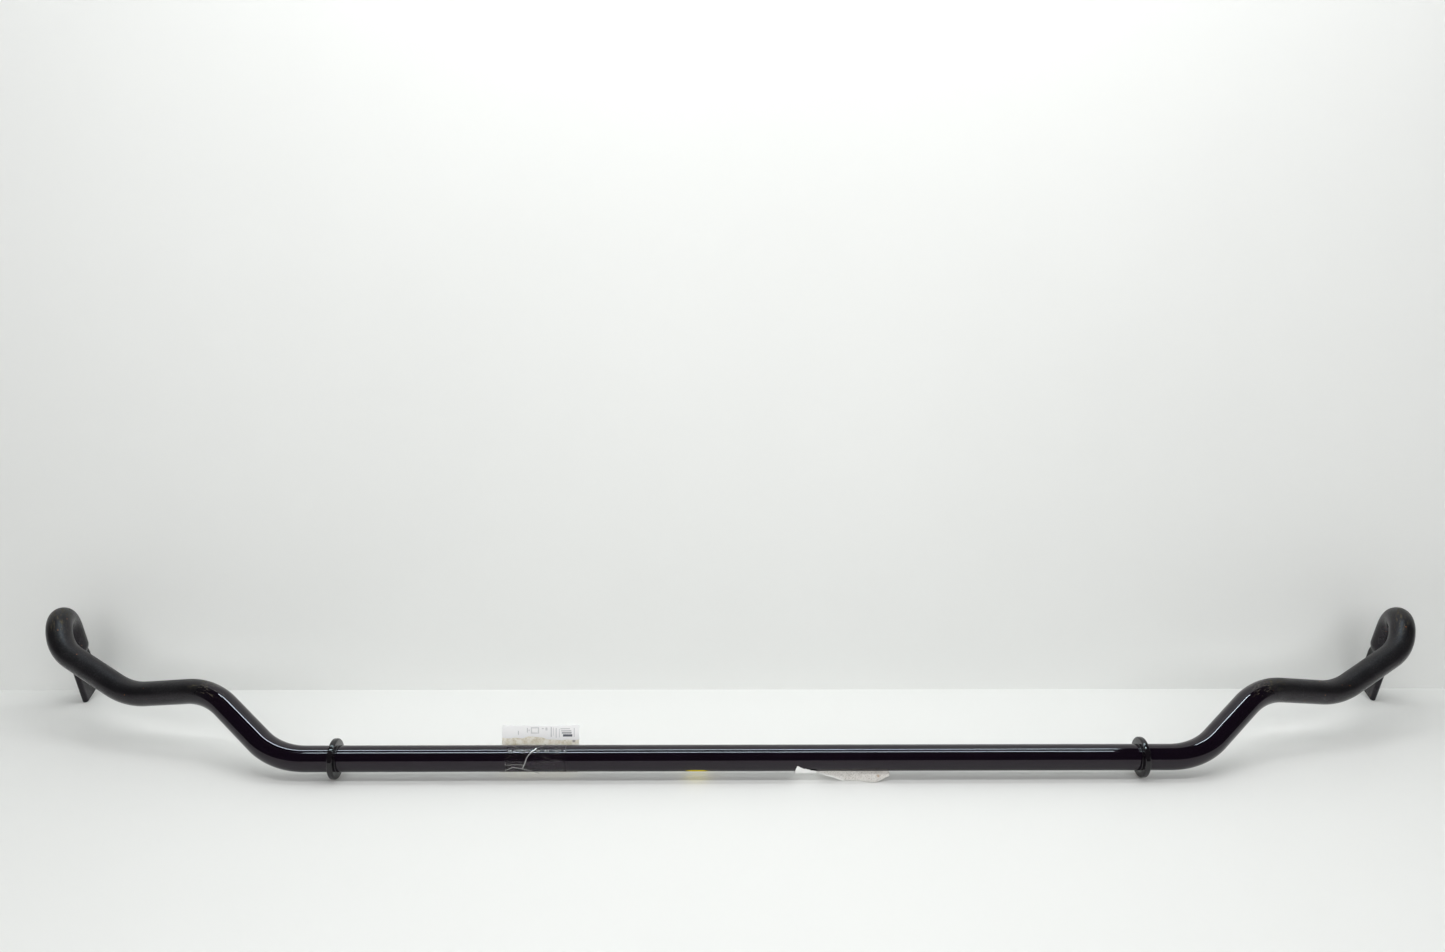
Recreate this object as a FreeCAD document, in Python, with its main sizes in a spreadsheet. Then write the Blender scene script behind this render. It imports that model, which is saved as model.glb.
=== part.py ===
import FreeCAD, Part
import Sketcher
import math
import os
import re

# Front sway bar (anti-roll bar) of a road car, bare, with its two stop collars and three bits of paper and tape.
# One steel tube is bent in three dimensions, and each end is pressed flat and pierced for a drop link.
#
# Frame: the origin is the middle of the straight centre section, on the tube's axis, about which the bar
# twists in use. +X runs along that axis to the right end, +Y back towards the arms' ends, +Z up.
# The bar stands on its two collars and on the lower front corners of its two paddles.

Vector = FreeCAD.Vector
document = FreeCAD.newDocument("sway_bar")

# Driving dimensions: millimetres, and degrees where the name says angle.
# A run is the straight line from one bend's corner to the next, given by how far it goes out (away from the
# middle), back and up. A bend radius is the tube axis's radius in that bend.
DIMENSIONS = (
    ("bar_diameter", 21.0),
    ("tube_wall", 2.6),
    ("centre_length", 749.2),
    ("kick_out", 71.5),
    ("kick_back", 46.8),
    ("kick_up", 40.8),
    ("shelf_out", 82.0),
    ("shelf_back", 24.5),
    ("shelf_up", -13.0),
    ("arm_out", 77.0),
    ("arm_back", 35.4),
    ("arm_up", 29.0),
    ("rise_out", 9.3),
    ("rise_back", 14.7),
    ("rise_up", 16.4),
    ("crown_out", 11.3),
    ("crown_back", 28.0),
    ("crown_up", 8.7),
    ("drop_lean_angle", 20.3),
    ("drop_splay_angle", 0.9),
    ("kick_bend", 64.0),
    ("shelf_bend", 68.0),
    ("arm_bend", 72.0),
    ("rise_bend", 50.0),
    ("crown_bend", 25.0),
    ("paddle_length", 38.0),
    ("paddle_yaw_angle", 5.0),
    ("paddle_round", 0.8),
    ("neck_length", 20.0),
    ("eye_diameter", 10.5),
    ("eye_inset", 16.0),
    ("collar_spacing", 654.0),
    ("collar_diameter", 32.4),
    ("collar_width", 4.8),
    ("collar_round", 1.5),
    ("skin_gap", 0.05),
    ("tape_thickness", 0.25),
    ("tape_width", 48.0),
    ("tape_place", -165.0),
    ("label_thickness", 0.4),
    ("label_width", 60.0),
    ("label_place", -160.0),
    ("label_foot_angle", 90.0),
    ("label_lean_angle", 8.0),
    ("label_stand", 24.0),
    ("torn_thickness", 0.4),
    ("torn_width", 74.0),
    ("torn_place", 81.0),
    ("torn_front_angle", 205.0),
    ("torn_wrap_angle", 95.0),
    ("flap_angle", 228.0),
    ("flap_slope_angle", 12.0),
    ("flap_width", 56.0),
    ("floor_gap", 0.3),
)


def make_sheet():
    """The spreadsheet of driving dimensions: a name beside each value, which is also the cell's alias."""
    page = document.addObject("Spreadsheet::Sheet", "Dimensions")
    for row, (name, value) in enumerate(DIMENSIONS, start=1):
        page.set(f"A{row}", name)
        page.set(f"B{row}", str(value))
        page.setAlias(f"B{row}", name)
    document.recompute()
    return page


sheet = make_sheet()


def size(name):
    """A driving dimension's value, read from the sheet."""
    return float(sheet.get(name))


def linked(expression):
    """The expression with the sheet's name put before each dimension, whose names all hold an underscore."""
    return re.sub(r"\b[a-z]+(_[a-z]+)+\b", r"Dimensions.\g<0>", expression)


def bind(item, **expressions):
    """Ties properties of a document object to the sheet; a double underscore stands for a dot."""
    for name, expression in expressions.items():
        item.setExpression(name.replace("__", "."), linked(expression))


# ---------------------------------------------------------------------------------------------------------
# Stabilizer bar: a tube bent in three dimensions, which no flat sketch holds, so its shape is worked out here.

# Two places closer than this are the same place.
TOUCHING = 0.001

RUNS = ("kick", "shelf", "arm", "rise", "crown")
BENDS = ("kick_bend", "shelf_bend", "arm_bend", "rise_bend", "crown_bend", "crown_bend")


def pressed_halves():
    """Half the paddle's width and half its thickness: two walls thick, as wide as the tube's girth allows."""
    wall = size("tube_wall")
    half_width = math.pi / 4 * (size("bar_diameter") - wall) + wall / 2
    return half_width, wall


def paddle_axes():
    """Three unit vectors of the right paddle: along it to the cut end, across it, and out of its outer face.

    The last run leans back from straight down and splays out a little; the paddle is pressed nearly fore and aft.
    """
    lean = math.radians(size("drop_lean_angle"))
    splay = math.radians(size("drop_splay_angle"))
    yaw = math.radians(size("paddle_yaw_angle"))
    along = Vector(math.sin(splay), math.sin(lean) * math.cos(splay), -math.cos(lean) * math.cos(splay))
    facing = Vector(math.cos(yaw), -math.sin(yaw), 0)
    outward = (facing - along * facing.dot(along)).normalize()
    return along, outward.cross(along), outward


def right_corners():
    """The corners of the bar's right half, from the first bend to the middle of the cut end.

    The last run is as long as it takes for the paddle's rounded lower corner to stand level with the collars.
    """
    corners = [Vector(size("centre_length") / 2, 0, 0)]
    for run in RUNS:
        step = Vector(size(f"{run}_out"), size(f"{run}_back"), size(f"{run}_up"))
        corners.append(corners[-1] + step)
    along, across, outward = paddle_axes()
    half_width = pressed_halves()[0]
    rounding_off = size("paddle_round") * (across.z - along.z - 1)
    end_height = half_width * across.z - rounding_off - size("collar_diameter") / 2
    reach = (end_height - corners[-1].z) / along.z
    corners.append(corners[-1] + along * reach)
    return corners


def mirrored(point):
    """The same point on the bar's other half."""
    return Vector(-point.x, point.y, point.z)


def bent_axis(corners, radii):
    """A wire of straight runs joined by tangent arcs, one arc at each inner corner."""
    edges = []
    start = corners[0]
    for before, corner, after, radius in zip(corners, corners[1:], corners[2:], radii):
        back = (before - corner).normalize()
        onward = (after - corner).normalize()
        turn = math.pi - back.getAngle(onward)
        setback = radius * math.tan(turn / 2)
        inward = (back + onward).normalize()
        middle = corner + inward * (radius / math.cos(turn / 2) - radius)
        arc = Part.Arc(corner + back * setback, middle, corner + onward * setback)
        edges.append(Part.LineSegment(start, arc.StartPoint).toShape())
        edges.append(arc.toShape())
        start = arc.EndPoint
    edges.append(Part.LineSegment(start, corners[-1]).toShape())
    return Part.Wire(edges)


def rod(axis, radius):
    """A round solid of one radius along the wire."""
    first = axis.OrderedEdges[0]
    start = first.valueAt(first.FirstParameter)
    section = Part.Circle(start, first.tangentAt(first.FirstParameter), radius)
    return axis.makePipeShell([Part.Wire([section.toShape()])], True, False)


def oval(centre, axes, half_width, half_thickness):
    """A closed ellipse square to the paddle's length, wider across it than through it."""
    along, across, outward = axes
    widest = centre + across * half_width
    thinnest = centre + outward * half_thickness
    return Part.Wire([Part.Ellipse(widest, thinnest, centre).toShape()])


def flat_section(centre, axes, half_width, half_thickness):
    """The pressed tube's outline square to the paddle's length: two flats joined by two half-round edges."""
    along, across, outward = axes
    flat = half_width - half_thickness
    edges = []
    for side in (1, -1):
        low = centre + (across * flat - outward * half_thickness) * side
        tip = centre + across * half_width * side
        high = centre + (across * flat + outward * half_thickness) * side
        next_low = centre - (across * flat - outward * half_thickness) * side
        edges.append(Part.Arc(low, tip, high).toShape())
        edges.append(Part.LineSegment(high, next_low).toShape())
    return Part.Wire(edges)


NECK_SHARES = (0.25, 0.5, 0.75)


def pressed_there(share):
    """How far the tube is pressed, from 0 round to 1 flat, at a share of the way along the neck."""
    return (1 - math.cos(math.pi * share)) / 2


def make_stabilizer_bar():
    """A bent tube, hollow to its necks, whose ends are pressed flat, cut square and pierced for a link bolt."""
    radius = size("bar_diameter") / 2
    wall = size("tube_wall")
    half_width, half_thickness = pressed_halves()
    corners = right_corners()
    axes = paddle_axes()
    along, across, outward = axes
    cut_end = corners[-1]
    paddle_start = cut_end - along * size("paddle_length")
    neck_start = paddle_start - along * size("neck_length")

    # The tube between the two necks.
    right_half = corners[:-1] + [neck_start]
    left_half = [mirrored(corner) for corner in reversed(right_half)]
    radii = [size(name) for name in BENDS]
    axis = bent_axis(left_half + right_half, list(reversed(radii)) + radii)
    outer = rod(axis, radius)
    hollow = rod(axis, radius - wall)

    # The neck keeps the tube's girth while it goes from round to flat, and pinches the hollow shut.
    neck = [Part.Wire([Part.Circle(neck_start, along, radius).toShape()])]
    pinch = [Part.Wire([Part.Circle(neck_start, along, radius - wall).toShape()])]
    for share in NECK_SHARES:
        centre = neck_start + along * size("neck_length") * share
        thin = radius + (half_thickness - radius) * pressed_there(share)
        wide = math.sqrt(2 * radius**2 - thin**2)
        neck.append(oval(centre, axes, wide, thin))
        pinch.append(oval(centre, axes, wide - wall, thin - wall))
    neck.append(flat_section(paddle_start, axes, half_width, half_thickness))

    # The paddle, with its cut end rounded off and its link eye drilled.
    outline = flat_section(paddle_start, axes, half_width, half_thickness)
    paddle = Part.Face(outline).extrude(along * size("paddle_length"))
    end_edges = [edge for edge in paddle.Edges if abs((edge.CenterOfMass - cut_end).dot(along)) < TOUCHING]
    paddle = paddle.makeFillet(size("paddle_round"), end_edges)
    eye_centre = cut_end - along * size("eye_inset") - outward * radius
    eye = Part.makeCylinder(size("eye_diameter") / 2, 2 * radius, eye_centre, outward)
    paddle = paddle.cut(eye)

    right_end = Part.makeLoft(neck, True, False).fuse(paddle)
    right_pinch = Part.makeLoft(pinch, True, False)
    middle = Vector(0, 0, 0)
    sideways = Vector(1, 0, 0)
    steel = outer.fuse([right_end, right_end.mirror(middle, sideways)])
    air = hollow.fuse([right_pinch, right_pinch.mirror(middle, sideways)])
    bar = document.addObject("Part::Feature", "StabilizerBar")
    bar.Label = "stabilizer_bar"
    bar.Shape = steel.cut(air).removeSplitter()
    bar.Placement = FreeCAD.Placement()
    return bar


# ---------------------------------------------------------------------------------------------------------
# Ring bodies round the centre section: the two stop collars and the wrap of clear tape.


def make_ring(label, inner, outer, width, place):
    """A ring about the tube's axis; all four sizes are expressions, and place is its middle along X."""
    body = document.addObject("PartDesign::Body", label)
    body.Label = label
    sketch = body.newObject("Sketcher::SketchObject", f"{label}_section")
    plane = [item for item in body.Origin.OriginFeatures if item.Role == "YZ_Plane"][0]
    sketch.AttachmentSupport = [(plane, "")]
    sketch.MapMode = "FlatFace"
    for name, diameter in (("inner", inner), ("outer", outer)):
        circle = sketch.addGeometry(Part.Circle(Vector(0, 0, 0), Vector(0, 0, 1), size("bar_diameter")))
        sketch.addConstraint(Sketcher.Constraint("Coincident", circle, 3, -1, 1))
        number = sketch.addConstraint(Sketcher.Constraint("Diameter", circle, 2 * size("bar_diameter")))
        sketch.renameConstraint(number, name)
        sketch.setExpression(f"Constraints.{name}", linked(diameter))
    pad = body.newObject("PartDesign::Pad", f"{label}_width")
    pad.Profile = sketch
    bind(pad, Length=width)
    bind(body, Placement__Base__x=f"{place} - ({width}) / 2")
    document.recompute()
    return body


def make_stop_collar(label, side):
    """A steel ring pressed on the bar, outboard of the rubber bush that it keeps in place."""
    collar = make_ring(
        label,
        "bar_diameter",
        "collar_diameter",
        "collar_width",
        f"{side} * collar_spacing / 2",
    )
    # Its two outer edges are rounded.
    pad = collar.Tip
    reach = size("collar_diameter") / 2
    rims = []
    for number, edge in enumerate(pad.Shape.Edges, start=1):
        if edge.Curve.TypeId == "Part::GeomCircle" and abs(edge.Curve.Radius - reach) < TOUCHING:
            rims.append(f"Edge{number}")
    fillet = collar.newObject("PartDesign::Fillet", f"{label}_rims")
    fillet.Base = (pad, rims)
    bind(fillet, Radius="collar_round")
    return collar


def make_tape_wrap():
    """Clear packing tape, once round the bar, which holds the paper label's foot."""
    return make_ring(
        "clear_tape_wrap",
        "bar_diameter + 2 * skin_gap",
        "bar_diameter + 2 * skin_gap + 2 * tape_thickness",
        "tape_width",
        "tape_place",
    )


# ---------------------------------------------------------------------------------------------------------
# Paper pieces: each is a curved strip laid round the bar, joined to a flat stretch of the same sheet that
# stands off it. Angles run about the tube's axis from +Y towards +Z: 90 is the bar's top, 270 its underside.

UPRIGHT_TO_AXIS = "rotation(vector(1; 1; 1); 120)"


def make_strip(label, inner_radius, thickness, width, place, first_angle, sweep_angle):
    """A curved strip about the tube's axis, as one cylinder's sector cut by a smaller cylinder."""
    turned = f"rotation(vector(1; 0; 0); {first_angle}) * {UPRIGHT_TO_AXIS}"
    seat = f"placement(vector({place} - {width} / 2; 0; 0); {turned})"
    outer = document.addObject("Part::Cylinder", f"{label}_outer")
    bind(outer, Radius=f"{inner_radius} + {thickness}", Height=width, Angle=sweep_angle, Placement=seat)
    inner = document.addObject("Part::Cylinder", f"{label}_inner")
    bind(inner, Radius=inner_radius, Height=width, Placement=seat)
    strip = document.addObject("Part::Cut", f"{label}_strip")
    strip.Base = outer
    strip.Tool = inner
    return strip


def make_leaf(label, width, thickness, height, low_x, low_y, low_z, turn_angle):
    """A flat stretch of a sheet: a thin box from its low corner, tipped about X."""
    leaf = document.addObject("Part::Box", f"{label}_leaf")
    seat = f"placement(vector({low_x}; {low_y}; {low_z}); rotation(vector(1; 0; 0); {turn_angle}))"
    bind(leaf, Length=width, Width=thickness, Height=height, Placement=seat)
    return leaf


def join_sheet(label, strip, leaf):
    """One paper piece from its curved strip and its flat stretch."""
    piece = document.addObject("Part::Fuse", label)
    piece.Label = label
    piece.Base = strip
    piece.Tool = leaf
    return piece


def make_paper_label():
    """A white paper label: its foot goes round under the bar over the tape, the rest stands up behind."""
    inner = "(bar_diameter / 2 + 2 * skin_gap + tape_thickness)"
    strip = make_strip(
        "label",
        inner,
        "label_thickness",
        "label_width",
        "label_place",
        "(-label_lean_angle - label_foot_angle)",
        "label_foot_angle",
    )
    # The leaf goes on from the strip's end, tangent to it.
    leaf = make_leaf(
        "label",
        "label_width",
        "label_thickness",
        "label_stand",
        "label_place - label_width / 2",
        f"{inner} * cos(label_lean_angle)",
        f"-{inner} * sin(label_lean_angle)",
        "-label_lean_angle",
    )
    return join_sheet("paper_label", strip, leaf)


def make_torn_label():
    """The rest of a torn sticker: stuck round the bar's underside, with a flap that hangs almost to the floor."""
    inner = "(bar_diameter / 2 + skin_gap)"
    strip = make_strip(
        "torn",
        inner,
        "torn_thickness",
        "torn_width",
        "torn_place",
        "torn_front_angle",
        "torn_wrap_angle",
    )
    # The flap's top is let into the strip, and its lower edge stops just above the floor.
    top_y = f"{inner} * cos(flap_angle)"
    top_z = f"{inner} * sin(flap_angle)"
    height = f"({top_z} + collar_diameter / 2 - floor_gap) / cos(flap_slope_angle)"
    flap = make_leaf(
        "torn",
        "flap_width",
        "torn_thickness",
        height,
        "torn_place + torn_width / 2 - flap_width",
        f"{top_y} - {height} * sin(flap_slope_angle) - torn_thickness",
        "floor_gap - collar_diameter / 2",
        "-flap_slope_angle",
    )
    return join_sheet("torn_label", strip, flap)


# ---------------------------------------------------------------------------------------------------------
# The whole object.

pieces = [
    make_stabilizer_bar(),
    make_stop_collar("left_stop_collar", -1),
    make_stop_collar("right_stop_collar", 1),
    make_tape_wrap(),
    make_paper_label(),
    make_torn_label(),
]
document.recompute()

for item in document.Objects:
    if "Invalid" in item.State or "Error" in item.State:
        raise RuntimeError(f"{item.Label} failed: {item.State}")
for piece in pieces:
    if piece.Shape.isNull() or not piece.Shape.isValid():
        raise RuntimeError(f"{piece.Label} has no valid shape")

os.makedirs("parts", exist_ok=True)
for piece in pieces:
    piece.Shape.exportStep(f"parts/{piece.Label}.step")
    print(f"{piece.Label}: {len(piece.Shape.Solids)} solid, {piece.Shape.Volume:.0f} mm3")
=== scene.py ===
import math

import bpy
import numpy as np
from mathutils import Matrix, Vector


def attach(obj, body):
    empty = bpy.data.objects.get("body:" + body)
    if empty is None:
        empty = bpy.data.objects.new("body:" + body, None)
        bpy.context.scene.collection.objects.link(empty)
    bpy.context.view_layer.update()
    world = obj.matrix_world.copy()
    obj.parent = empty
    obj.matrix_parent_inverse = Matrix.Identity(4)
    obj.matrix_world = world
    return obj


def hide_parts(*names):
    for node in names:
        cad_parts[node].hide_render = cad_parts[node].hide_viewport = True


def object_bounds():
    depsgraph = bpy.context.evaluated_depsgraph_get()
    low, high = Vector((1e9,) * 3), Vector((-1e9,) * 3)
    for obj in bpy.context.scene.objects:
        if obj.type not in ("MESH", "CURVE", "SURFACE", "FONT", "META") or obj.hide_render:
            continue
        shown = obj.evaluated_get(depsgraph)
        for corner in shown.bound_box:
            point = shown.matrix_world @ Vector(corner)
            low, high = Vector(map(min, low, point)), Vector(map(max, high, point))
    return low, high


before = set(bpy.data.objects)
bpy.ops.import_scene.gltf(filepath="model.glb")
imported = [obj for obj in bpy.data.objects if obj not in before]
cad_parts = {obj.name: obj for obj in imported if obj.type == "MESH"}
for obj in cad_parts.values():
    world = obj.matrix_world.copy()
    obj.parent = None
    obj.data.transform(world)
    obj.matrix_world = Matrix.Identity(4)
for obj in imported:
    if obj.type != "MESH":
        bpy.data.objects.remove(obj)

cad_low, cad_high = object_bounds()

# --------------------------------------------------------------------------------------------------
# The stabilizer bar: one round steel tube, cold bent twelve times, its ends pressed flat between dies and
# pierced for the drop links. It was dipped in black enamel, which stays mirror bright on the straight
# middle and has gone satin and dusty on the arms.

MM = 0.001
BAR_RADIUS = 10.5 * MM
TUBE_WALL = 2.6 * MM
STANDING_RADIUS = 16.2 * MM
HALF_STRAIGHT = 374.6 * MM
# Each run from one bend's corner to the next: how far it goes out, back and up.
RUNS = np.array([
    (71.5, 46.8, 40.8),
    (82.0, 24.5, -13.0),
    (77.0, 35.4, 29.0),
    (9.3, 14.7, 16.4),
    (11.3, 28.0, 8.7),
]) * MM
BEND_RADII = np.array([64.0, 68.0, 72.0, 50.0, 25.0, 25.0]) * MM
DROP_LEAN = math.radians(20.3)
DROP_SPLAY = math.radians(0.9)
PADDLE_YAW = math.radians(5.0)
PADDLE_LENGTH = 38.0 * MM
NECK_LENGTH = 20.0 * MM
CUT_ROUNDING = 0.8 * MM
EYE_RADIUS = 5.25 * MM
EYE_INSET = 16.0 * MM
EYE_BREAK = 0.35 * MM

# Points round the tube: a pressed flat takes 36 steps of them and each half-round edge of the paddle 12.
FLAT_STEPS = 36
EDGE_STEPS = 12
ROUND_STEPS = 2 * (FLAT_STEPS + EDGE_STEPS)
EYE_STEPS = 10
# Rows of points along the last run before the neck, along the neck, and round the cut end's rounded rim.
LAST_RUN_ROWS = 12
NECK_ROWS = 24
RIM_ROWS = 5


def unit(vectors):
    """Vectors divided by their own lengths."""
    return vectors / np.linalg.norm(vectors, axis=-1, keepdims=True)


def smooth(values, start, end):
    """0 before start and 1 after end, with 3 t^2 - 2 t^3 between them."""
    share = np.clip((values - start) / (end - start), 0, 1)
    return share * share * (3 - 2 * share)


def turned(vectors, axis, angle):
    """Vectors turned about a unit axis by each angle a.

    A turned vector is v cos a + (axis x v) sin a + axis (axis . v)(1 - cos a).
    """
    angle = np.asarray(angle)[:, None, None]
    along_axis = (vectors @ axis)[:, None] * axis
    sideways = np.cross(axis, vectors)
    return vectors * np.cos(angle) + sideways * np.sin(angle) + along_axis * (1 - np.cos(angle))


def bent_line(corners, radii, directions, run_step, arc_step):
    """A bent tube's centre line: points, and at each the directions side, up and along, free of twist.

    A run is start + along t. An arc is start + radius (along sin a + inward (1 - cos a)), with its directions
    turned by a about the arc's axis.
    """
    start, points, frames = corners[0], [], []
    for corner, after, radius in zip(corners[1:-1], corners[2:], radii):
        onward = unit(after - corner)
        along = directions[2]
        axis = unit(np.cross(along, onward))
        turn = math.acos(along @ onward)
        setback = radius * math.tan(turn / 2)
        arc_start = corner - along * setback
        length = np.linalg.norm(arc_start - start)
        t = np.linspace(0, length, max(1, round(length / run_step)), endpoint=False)
        points.append(start + along * t[:, None])
        frames.append(np.repeat(directions[None], len(t), axis=0))
        a = np.linspace(0, turn, round(turn * radius / arc_step), endpoint=False)
        inward = np.cross(axis, along)
        points.append(arc_start + radius * (along * np.sin(a)[:, None] + inward * (1 - np.cos(a))[:, None]))
        frames.append(turned(directions, axis, a))
        start = corner + onward * setback
        directions = turned(directions, axis, [turn])[0]
    t = np.linspace(0, np.linalg.norm(corners[-1] - start), LAST_RUN_ROWS)
    points.append(start + directions[2] * t[:, None])
    frames.append(np.repeat(directions[None], len(t), axis=0))
    return np.concatenate(points), np.concatenate(frames)


def pressed_outline(half_width, half_thickness):
    """The pressed tube's outline: flats at plus and minus half_thickness, joined by half circles."""
    flat = half_width - half_thickness
    turn = np.linspace(-np.pi / 2, np.pi / 2, EDGE_STEPS, endpoint=False)
    slide = np.linspace(flat, -flat, FLAT_STEPS, endpoint=False)
    across = np.concatenate([flat + half_thickness * np.cos(turn), slide])
    outward = np.concatenate([half_thickness * np.sin(turn), np.full(FLAT_STEPS, half_thickness)])
    outline = np.stack([np.concatenate([across, -across]), np.concatenate([outward, -outward])])
    return np.roll(outline, -EDGE_STEPS // 2, axis=1)


# The paddle's own directions, across it, out of its outer face, and along it to the cut end.
drop = np.array([
    math.sin(DROP_SPLAY),
    math.sin(DROP_LEAN) * math.cos(DROP_SPLAY),
    -math.cos(DROP_LEAN) * math.cos(DROP_SPLAY),
])
facing = np.array([math.cos(PADDLE_YAW), -math.sin(PADDLE_YAW), 0])
outward = unit(facing - drop * (facing @ drop))
paddle_directions = np.stack([np.cross(outward, drop), outward, drop])

# The cut end is where the paddle's lower corner stands level with the collars.
half_width = math.pi / 4 * (2 * BAR_RADIUS - TUBE_WALL) + TUBE_WALL / 2
corners = np.cumsum(np.vstack([[0, 0, 0], [HALF_STRAIGHT, 0, 0], RUNS]), axis=0)
corner_rounding = CUT_ROUNDING * (paddle_directions[0, 2] - drop[2] - 1)
end_height = half_width * paddle_directions[0, 2] - corner_rounding - STANDING_RADIUS
cut_end = corners[-1] + drop * (end_height - corners[-1, 2]) / drop[2]
neck_start = cut_end - drop * (PADDLE_LENGTH + NECK_LENGTH)

# The right half's rows: the round tube, the neck, and the paddle with its rounded cut end.
straight_directions = np.array([[0.0, 1, 0], [0, 0, 1], [1, 0, 0]])
centres, frames = bent_line(
    np.vstack([corners, neck_start]), BEND_RADII, straight_directions, run_step=5 * MM, arc_step=1.3 * MM
)
travel = np.concatenate([[0], np.cumsum(np.linalg.norm(np.diff(centres, axis=0), axis=1))])
# The round tube's directions are eased round to the paddle's between the first bend and the neck.
twist = math.atan2(paddle_directions[0] @ frames[-1, 1], paddle_directions[0] @ frames[-1, 0])
twist = twist * smooth(travel, HALF_STRAIGHT, travel[-1])[:, None]
side = frames[:, 0] * np.cos(twist) + frames[:, 1] * np.sin(twist)
frames = np.stack([side, np.cross(frames[:, 2], side), frames[:, 2]], axis=1)

around = np.linspace(0, 2 * np.pi, ROUND_STEPS, endpoint=False)
circle = np.stack([np.cos(around), np.sin(around)])
outlines = np.repeat(BAR_RADIUS * circle[None], len(centres), axis=0)

flat_outline = pressed_outline(half_width, TUBE_WALL)
share = np.linspace(0, 1, NECK_ROWS + 1)[1:, None]
pressed = (1 - np.cos(np.pi * share)) / 2
thin = BAR_RADIUS + (TUBE_WALL - BAR_RADIUS) * pressed
wide = np.sqrt(2 * BAR_RADIUS**2 - thin**2)
squared_off = smooth(share, 0.45, 1)[..., None]
ovals = np.stack([wide * circle[0], thin * circle[1]], axis=1)
neck_outlines = ovals * (1 - squared_off) + flat_outline * squared_off
neck_travel = NECK_LENGTH * share[:, 0]

cell = 2 * (half_width - TUBE_WALL) / FLAT_STEPS
before_eye = PADDLE_LENGTH - EYE_INSET
level = before_eye + cell * np.arange(-int(before_eye / cell), int((EYE_INSET - CUT_ROUNDING) / cell) + 1)
level = np.append(level, PADDLE_LENGTH - CUT_ROUNDING)
rim = np.linspace(0, np.pi / 2, RIM_ROWS + 1)[1:]
paddle_travel = NECK_LENGTH + np.concatenate([level, level[-1] + CUT_ROUNDING * np.sin(rim)])
inset = np.concatenate([np.zeros(len(level)), CUT_ROUNDING * (1 - np.cos(rim))])
paddle_outlines = np.stack([pressed_outline(half_width - d, TUBE_WALL - d) for d in inset])

end_travel = np.concatenate([neck_travel, paddle_travel])
centres = np.vstack([centres, neck_start + drop * end_travel[:, None]])
frames = np.concatenate([frames, np.repeat(paddle_directions[None], len(end_travel), axis=0)])
outlines = np.concatenate([outlines, neck_outlines, paddle_outlines])
travel = np.append(travel, travel[-1] + end_travel)
shell = (
    centres[:, None]
    + outlines[:, 0, :, None] * frames[:, None, 0]
    + outlines[:, 1, :, None] * frames[:, None, 1]
)
eye_row = len(travel) - len(rim) - 2 - int((EYE_INSET - CUT_ROUNDING) / cell)

# The left half is the same rows mirrored, so that the rows run from the left cut end to the right one.
shell = np.concatenate([shell[:0:-1] * [-1, 1, 1], shell])
travel = np.concatenate([-travel[:0:-1], travel])
rows = len(travel)
eye_row += rows // 2
vertices = [shell.reshape(-1, 3)]
index = np.arange(rows * ROUND_STEPS).reshape(rows, ROUND_STEPS)


def band(first, second):
    """Four-sided faces between two rows of points, or between each row and the next of two grids."""
    faces = np.stack([first[..., :-1], first[..., 1:], second[..., 1:], second[..., :-1]], axis=-1)
    return faces.reshape(-1, 4)


closed = np.concatenate([index, index[:, :1]], axis=1)
skin = np.stack([closed[:-1, :-1], closed[:-1, 1:], closed[1:, 1:], closed[1:, :-1]], axis=-1)
kept = np.ones(skin.shape[:2], bool)

# Round each eye, a square of the flat is drawn in to the eye's circle in rings, and a wall joins the two
# flats. The square's border goes round as a triangle wave cut off at its half side, a quarter turn on for
# the columns. Each ring is a share of the way out to the square, and a depth below the flat.
lap = np.arange(8 * EYE_STEPS)
triangle_wave = 2 * EYE_STEPS - abs((lap + 2 * EYE_STEPS) % len(lap) - 4 * EYE_STEPS)
square_row = np.clip(triangle_wave, -EYE_STEPS, EYE_STEPS)
square_column = np.roll(square_row, -2 * EYE_STEPS)
count = rows * ROUND_STEPS
border, middle, reach_out = [np.arange(count)], [np.arange(count)], [np.ones(count)]
holes = []
for row in (rows - 1 - eye_row, eye_row):
    mouths = []
    for column in (ROUND_STEPS // 4, 3 * ROUND_STEPS // 4):
        kept[row - EYE_STEPS:row + EYE_STEPS, column - EYE_STEPS:column + EYE_STEPS] = False
        square = index[row + square_row, column + square_column]
        centre = shell[row, column]
        inward = unit(shell[row, (column + ROUND_STEPS // 2) % ROUND_STEPS] - centre)
        spoke = vertices[0][square] - centre
        spoke_length = np.linalg.norm(spoke, axis=1, keepdims=True)
        mouth = (EYE_RADIUS + EYE_BREAK) / spoke_length
        rings = [(1 + (mouth - 1) * part, 0) for part in (0.3, 0.6, 0.85, 1.0)]
        rings.append(((EYE_RADIUS + 0.3 * EYE_BREAK) / spoke_length, 0.3 * EYE_BREAK))
        rings.append((EYE_RADIUS / spoke_length, EYE_BREAK))
        ring_index = [square]
        for part, depth in rings:
            vertices.append(centre + spoke * part + inward * depth)
            ring_index.append(count + lap)
            border.append(square)
            middle.append(np.full(len(lap), index[row, column]))
            reach_out.append(part[:, 0])
            count += len(lap)
        ring_index = np.stack(ring_index)
        ring_index = np.concatenate([ring_index, ring_index[:, :1]], axis=1)
        holes.append(band(ring_index[:-1], ring_index[1:]))
        mouths.append(ring_index[-1])
    facing_mouth = mouths[1][(4 * EYE_STEPS - np.append(lap, 0)) % len(lap)]
    holes.append(band(mouths[0], facing_mouth))
border, middle, reach_out = (np.concatenate(part) for part in (border, middle, reach_out))

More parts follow.
